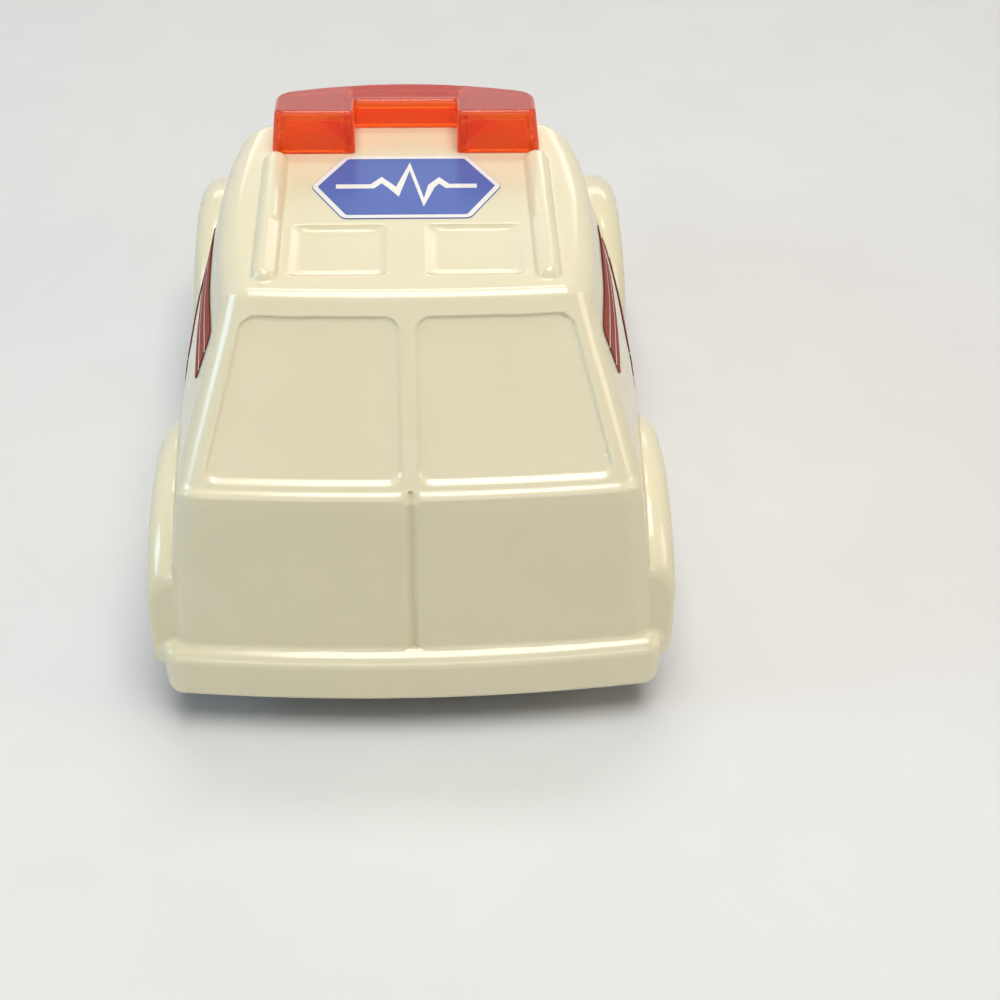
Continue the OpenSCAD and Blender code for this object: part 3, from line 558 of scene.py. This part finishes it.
def painted_shade_above(mat, colour):
    """Faces that look up take a deeper colour: painted shade standing in for the light that the
    hollow below them does not let shine through.
    """
    nodes, links = mat.node_tree.nodes, mat.node_tree.links
    shader = nodes["Principled BSDF"]
    plain = shader.inputs["Base Color"].links[0].from_socket
    geometry = nodes.new("ShaderNodeNewGeometry")
    split = nodes.new("ShaderNodeSeparateXYZ")
    links.new(geometry.outputs["Normal"], split.inputs["Vector"])
    up = nodes.new("ShaderNodeMapRange")
    socket(up, "From Min", 0.55)
    socket(up, "From Max", 0.95)
    links.new(split.outputs["Z"], up.inputs["Value"])
    mix = nodes.new("ShaderNodeMixRGB")
    socket(mix, "Color2", (*colour, 1.0))
    links.new(up.outputs["Result"], mix.inputs["Fac"])
    links.new(plain, mix.inputs["Color1"])
    links.new(mix.outputs["Color"], shader.inputs["Base Color"])


# Painted shade on the lens faces that look up
painted_shade_above(lens_red, (0.5, 0.06, 0.006))


# The shell and the light bar

# Steps of the grids that the forms are sampled on
FINE = 0.26
BAR_FINE = 0.17
shell = skin_object("shell_moulding", body, (
    spread((0, 1.2, 0.12), (1.2, 24.4, FINE)),
    spread((-38.6, 38.6, FINE)),
    spread((4.0, 11.4, FINE), (11.4, 17.4, FINE * 0.6), (17.4, 41.6, FINE),
           (41.6, 45.6, FINE * 0.7)),
), cream)
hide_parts("body_shell")

bar = skin_object("light_bar_lens", lens, (
    spread((0, 12.6, BAR_FINE)),
    spread((-6.3, 3.3, BAR_FINE)),
    spread((42.6, 47.8, BAR_FINE)),
), lens_red)
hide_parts("light_bar")


# Printed films

def ring(points, width):
    """Outline of a convex polygon moved inwards."""
    p = np.asarray(points, dtype=float)
    n = len(p)
    out = []
    for i in range(n):
        a, b, c = p[i - 1], p[i], p[(i + 1) % n]
        u, v = (b - a) / np.linalg.norm(b - a), (c - b) / np.linalg.norm(c - b)
        nu, nv = np.array([-u[1], u[0]]), np.array([-v[1], v[0]])
        m = nu + nv
        out.append(b + m * width / (0.5 * m.dot(m)))
    return np.array(out)


def rounded(points, r, steps=8):
    """Outline of a polygon with its corners rounded."""
    p = np.asarray(points, dtype=float)
    out = []
    for i in range(len(p)):
        a, b, c = p[i - 1], p[i], p[(i + 1) % len(p)]
        u, v = (a - b) / np.linalg.norm(a - b), (c - b) / np.linalg.norm(c - b)
        half = math.acos(float(np.clip(u.dot(v), -1, 1))) / 2
        mid = b + (u + v) / np.linalg.norm(u + v) * r / math.sin(half)
        s, e = b + u * r / math.tan(half) - mid, b + v * r / math.tan(half) - mid
        turn = math.atan2(s[0] * e[1] - s[1] * e[0], s.dot(e))
        for k in range(steps + 1):
            t = turn * k / steps
            out.append(mid + [s[0] * math.cos(t) - s[1] * math.sin(t),
                              s[0] * math.sin(t) + s[1] * math.cos(t)])
    return np.array(out)


class Sheets:
    """Thin printed sheets gathered in one mesh."""

    def __init__(self):
        self.points, self.polys, self.mats = [], [], []

    def slab(self, outline, low, high, mat):
        """A flat sheet with the given outline."""
        n, base = len(outline), len(self.points)
        for z in (low, high):
            self.points += [(x, y, z) for x, y in outline]
        self.polys.append(list(range(base + n, base + 2 * n)))
        self.polys.append(list(range(base + n - 1, base - 1, -1)))
        for i in range(n):
            j = (i + 1) % n
            self.polys.append([base + i, base + j, base + n + j, base + n + i])
        self.mats += [mat] * (n + 2)

    def band(self, outer, inner, low, high, mat):
        """A closed border between two outlines."""
        n, base = len(outer), len(self.points)
        for line, z in ((outer, low), (outer, high), (inner, high), (inner, low)):
            self.points += [(x, y, z) for x, y in line]
        for k in range(4):
            for i in range(n):
                j = (i + 1) % n
                a, b = base + k * n, base + (k + 1) % 4 * n
                self.polys.append([a + i, a + j, b + j, b + i])
                self.mats.append(mat)


BADGE_Y, BADGE_HALF, BADGE_FLAT, BADGE_DEPTH = -11.3, 8.4, 5.51, 5
FILM = (ROOF + 0.01, ROOF + 0.08)
INK = (ROOF + 0.07, ROOF + 0.11)
GROUND, LINE = 0, 1
PULSE_HALF = 0.32


def stroke(points, half):
    """Left and right edges of a line of some width along points."""
    left, right = [], []
    last = len(points) - 1
    for i, here in enumerate(points):
        a, b = points[max(i - 1, 0)], points[min(i + 1, last)]
        u = (here - a) / max(np.linalg.norm(here - a), 1e-9)
        v = (b - here) / max(np.linalg.norm(b - here), 1e-9)
        u = v if i == 0 else u
        v = u if i == last else v
        m = np.array([-u[1], u[0]]) + np.array([-v[1], v[0]])
        off = m * half / max(0.5 * m.dot(m), 0.22)
        left.append(here + off)
        right.append(here - off)
    return left, right


hexagon = rounded([(-BADGE_HALF, BADGE_Y), (-BADGE_FLAT, BADGE_Y - BADGE_DEPTH),
                   (BADGE_FLAT, BADGE_Y - BADGE_DEPTH), (BADGE_HALF, BADGE_Y),
                   (BADGE_FLAT, BADGE_Y + BADGE_DEPTH), (-BADGE_FLAT, BADGE_Y + BADGE_DEPTH)], 0.8)
sheets = Sheets()
sheets.slab(hexagon, *FILM, GROUND)
sheets.band(ring(hexagon, 0.05), ring(hexagon, 0.5), *INK, LINE)
pulse = np.array([(-6.2, 0), (-3.0, 0), (-2.2, 1.0), (-1.4, 0), (-0.8, -0.9), (0.3, 3.2),
                  (1.5, -2.6), (2.2, 0), (2.9, 0.9), (3.6, 0), (6.2, 0)]) + [0, BADGE_Y]
left, right = stroke(pulse, PULSE_HALF)
for i in range(len(pulse) - 1):
    sheets.slab([right[i], right[i + 1], left[i + 1], left[i]], *INK, LINE)
badge = make_object("roof_print", sheets.points, sheets.polys, "car", [blue, white],
                    poly_mats=sheets.mats)
badge.data.polygons.foreach_set("use_smooth", [False] * len(badge.data.polygons))
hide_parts("roof_badge")


FILM_OUTER, FILM_INNER = 0.11, 0.02
UPPER_LOW, UPPER_HIGH, UPPER_REAR, UPPER_FRONT, UPPER_CORNER = 33.5, 38.5, -26.3, -10.3, 0.6
LOWER_LOW, LOWER_HIGH, LOWER_REAR, LOWER_FRONT = 18.0, 25.0, -10.2, 7.0
CLEAR_OF_REAR_FLARE, CLEAR_OF_FRONT_FLARE = 15.8, 15.0
UPPER_LINES = ((34.7, 34.9), (36.6, 36.8))
LOWER_LINES = ((19.7, 20.4), (23.0, 23.4))


def van_only(x, y, z):
    return van(faces(np.abs(x), y, z), y, z)


def side_print(name, node, side, rows, ends, bands):
    """A film on the side of the shell, from rows of heights, its two ends and its colours."""
    cols = 90
    grid = []
    for z in rows:
        a, b = ends(z)
        grid += [(side * (side_width(y, z) + 0.05), y, z) for y in np.linspace(a, b, cols)]
    p = np.array(grid)
    outer, normals = settle(van_only, p, 4, FILM_OUTER)
    inner, _ = settle(van_only, p, 4, FILM_INNER)
    n = len(rows)
    polys, mats = [], []

    def quad(a, b, c, d, mat):
        polys.append([a, b, c, d] if side > 0 else [d, c, b, a])
        mats.append(mat)

    off = n * cols
    for i in range(n - 1):
        mat = bands((rows[i] + rows[i + 1]) / 2)
        this, above = i * cols, (i + 1) * cols
        for j in range(cols - 1):
            a, b, c, d = this + j, this + j + 1, above + j + 1, above + j
            quad(a, b, c, d, mat)
            quad(off + d, off + c, off + b, off + a, mat)
        quad(this, above, off + above, off + this, mat)
        e = cols - 1
        quad(above + e, this + e, off + this + e, off + above + e, mat)
    for j in range(cols - 1):
        quad(j + 1, j, off + j, off + j + 1, bands(rows[0]))
        t = (n - 1) * cols
        quad(t + j, t + j + 1, off + t + j + 1, off + t + j, bands(rows[-1]))
    obj = make_object(name, np.concatenate([outer, inner]), polys, "car", [red, white],
                      np.concatenate([normals, -normals]), mats)
    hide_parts(node)


def upper_ends(z):
    """Ends of an upper film at a height, with rounded corners."""
    edge = UPPER_CORNER - min(z - UPPER_LOW, UPPER_HIGH - z)
    trim = UPPER_CORNER - math.sqrt(max(UPPER_CORNER ** 2 - max(edge, 0.0) ** 2, 0.0))
    return UPPER_REAR + trim, UPPER_FRONT - trim


def lower_ends(z):
    """Ends of a lower film at a height, clear of the flares."""
    rise = (z - AXLE_Z) ** 2
    rear = REAR_AXLE + math.sqrt(max(CLEAR_OF_REAR_FLARE ** 2 - rise, 0.0))
    front = FRONT_AXLE - math.sqrt(max(CLEAR_OF_FRONT_FLARE ** 2 - rise, 0.0))
    return max(LOWER_REAR, rear), min(LOWER_FRONT, front)


def banded(lines):
    """Colour of a film by height: thin lines on a plain ground."""
    return lambda z: LINE if any(low < z < high for low, high in lines) else GROUND


upper_rows = np.concatenate([np.linspace(UPPER_LOW, 34.1, 7), np.linspace(34.4, 37.6, 33),
                             np.linspace(37.9, UPPER_HIGH, 7)])
lower_rows = np.linspace(LOWER_LOW, LOWER_HIGH, 57)
for side, word in ((-1, "left"), (1, "right")):
    side_print("upper_print_" + word, "upper_stripe_" + word, side,
               upper_rows, upper_ends, banded(UPPER_LINES))
    side_print("lower_print_" + word, "lower_stripe_" + word, side,
               lower_rows, lower_ends, banded(LOWER_LINES))


# Parts whose CAD form stays

def finish_node(name, mat):
    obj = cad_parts[name]
    obj.data.materials.clear()
    obj.data.materials.append(mat)


for end in ("front", "rear"):
    finish_node(end + "_axle", steel)
    finish_node(end + "_axle_keeper", black)
    for word in ("left", "right"):
        finish_node(f"{end}_{word}_tyre", rubber)
        finish_node(f"{end}_{word}_hub", silver)
finish_node("base_plate", black)
finish_node("base_screws", steel)


# Stage: pale floor, soft studio light, camera at the photograph's angle

PALE, PALE_STRENGTH, DIM_STRENGTH = (0.9, 0.91, 0.93, 1), 0.85, 0.13
FLOOR_HALF, FLOOR_LIT, FLOOR_FAR = 3, 0.13, 0.42
WARM, SOFT = (1.0, 0.98, 0.94), (1.0, 0.98, 0.95)

corners = [(-FLOOR_HALF, -FLOOR_HALF, 0), (FLOOR_HALF, -FLOOR_HALF, 0),
           (FLOOR_HALF, FLOOR_HALF, 0), (-FLOOR_HALF, FLOOR_HALF, 0)]
floor_mesh = bpy.data.meshes.new("floor")
floor_mesh.from_pydata(corners, [], [(0, 1, 2, 3)])
floor_obj = bpy.data.objects.new("floor", floor_mesh)
bpy.context.scene.collection.objects.link(floor_obj)


def seen_rays(nodes, links):
    """1 for rays that show a surface: straight, mirrored or through the clear parts."""
    path = nodes.new("ShaderNodeLightPath")
    last = path.outputs["Is Camera Ray"]
    for word in ("Is Glossy Ray", "Is Transmission Ray"):
        both = nodes.new("ShaderNodeMath")
        both.operation = "MAXIMUM"
        links.new(last, both.inputs[0])
        links.new(path.outputs[word], both.inputs[1])
        last = both.outputs["Value"]
    return last


def floor_material():
    """Pale floor: lit near the toy, and fading to a plain pale tone far from it."""
    mat = moulded("pale_floor", (0.7, 0.695, 0.685), (0.72, 0.715, 0.705), (0.6, 0.7),
                  60.0, 0.0)
    nodes, links = mat.node_tree.nodes, mat.node_tree.links
    coords = nodes.new("ShaderNodeTexCoord")
    far = nodes.new("ShaderNodeVectorMath")
    far.operation = "LENGTH"
    links.new(coords.outputs["Object"], far.inputs[0])
    fade = nodes.new("ShaderNodeMapRange")
    fade.interpolation_type = "SMOOTHSTEP"
    socket(fade, "From Min", FLOOR_LIT)
    socket(fade, "From Max", FLOOR_FAR)
    links.new(far.outputs["Value"], fade.inputs["Value"])
    seen = nodes.new("ShaderNodeMath")
    seen.operation = "MULTIPLY"
    links.new(fade.outputs["Result"], seen.inputs[0])
    links.new(seen_rays(nodes, links), seen.inputs[1])
    glow = nodes.new("ShaderNodeEmission")
    socket(glow, "Color", PALE)
    socket(glow, "Strength", PALE_STRENGTH)
    mix = nodes.new("ShaderNodeMixShader")
    links.new(seen.outputs["Value"], mix.inputs["Fac"])
    links.new(nodes["Principled BSDF"].outputs["BSDF"], mix.inputs[1])
    links.new(glow.outputs["Emission"], mix.inputs[2])
    links.new(mix.outputs["Shader"], nodes["Material Output"].inputs["Surface"])
    return mat


floor_mesh.materials.append(floor_material())


def area_light(name, place, target, size, power, colour):
    """A soft lamp at a place, turned towards a target."""
    light = bpy.data.lights.new(name, "AREA")
    light.shape = "RECTANGLE"
    light.size, light.size_y = size
    light.energy = power
    light.color = colour
    obj = bpy.data.objects.new(name, light)
    obj.location = place
    obj.rotation_euler = (Vector(target) - Vector(place)).to_track_quat("-Z", "Y").to_euler()
    bpy.context.scene.collection.objects.link(obj)


area_light("key", (0.04, -0.12, 0.5), (0.02, -0.12, 0.02), (0.26, 0.27), 1.75, WARM)
area_light("front_fill", (0.03, 0.5, 0.26), (0, 0, 0.04), (0.5, 0.1), 0.42, SOFT)
area_light("left_fill", (-0.45, -0.08, 0.2), (0, 0, 0.02), (0.16, 0.2), 0.6, (0.52, 0.78, 1.0))
area_light("right_fill", (0.45, -0.1, 0.2), (0, 0, 0.02), (0.16, 0.2), 0.32, (1.0, 0.9, 0.74))
area_light("rear_strip", (0.0, -0.5, 0.13), (0, 0, 0.025), (0.4, 0.12), 0.4, SOFT)
area_light("top_front", (0.0, 0.15, 0.5), (0, 0, 0.03), (0.26, 0.1), 0.6, WARM)

world = bpy.data.worlds.new("studio")
bpy.context.scene.world = world
world.use_nodes = True
nodes, links = world.node_tree.nodes, world.node_tree.links
back = nodes["Background"]
socket(back, "Color", PALE)
strength = nodes.new("ShaderNodeMapRange")
socket(strength, "To Min", DIM_STRENGTH)
socket(strength, "To Max", PALE_STRENGTH)
links.new(seen_rays(nodes, links), strength.inputs["Value"])
links.new(strength.outputs["Result"], back.inputs["Strength"])

# The camera's place in millimetres, its line of sight and its turn about that line
CAMERA_PLACE = Vector((1.153, -132.802, 120.350))
CAMERA_SIGHT = Vector((0.04711, 0.72361, -0.68860)).normalized()
yaw, roll = math.radians(3.725), math.radians(1.667)
level_right = Vector((math.cos(yaw), -math.sin(yaw), 0.0))
level_up = level_right.cross(CAMERA_SIGHT)
cam_right = math.cos(roll) * level_right + math.sin(roll) * level_up
cam_up = -math.sin(roll) * level_right + math.cos(roll) * level_up
camera = bpy.data.cameras.new("photo_camera")
camera.lens = 57.6
camera.sensor_width = 36.0
camera.clip_start = 0.01
cam = bpy.data.objects.new("photo_camera", camera)
turn = Matrix((cam_right, cam_up, -CAMERA_SIGHT)).transposed().to_4x4()
cam.matrix_world = Matrix.Translation(CAMERA_PLACE * MM) @ turn
bpy.context.scene.collection.objects.link(cam)
bpy.context.scene.camera = cam
bpy.context.scene.view_settings.view_transform = "Standard"

# Box around the visible pieces, in metres
visual = [o for o in bpy.data.objects
          if o.type == "MESH" and o is not floor_obj and not o.hide_render]
low, high = [1e9] * 3, [-1e9] * 3
for o in visual:
    co = np.empty(len(o.data.vertices) * 3)
    o.data.vertices.foreach_get("co", co)
    co = co.reshape(-1, 3)
    low = np.minimum(low, co.min(0))
    high = np.maximum(high, co.max(0))
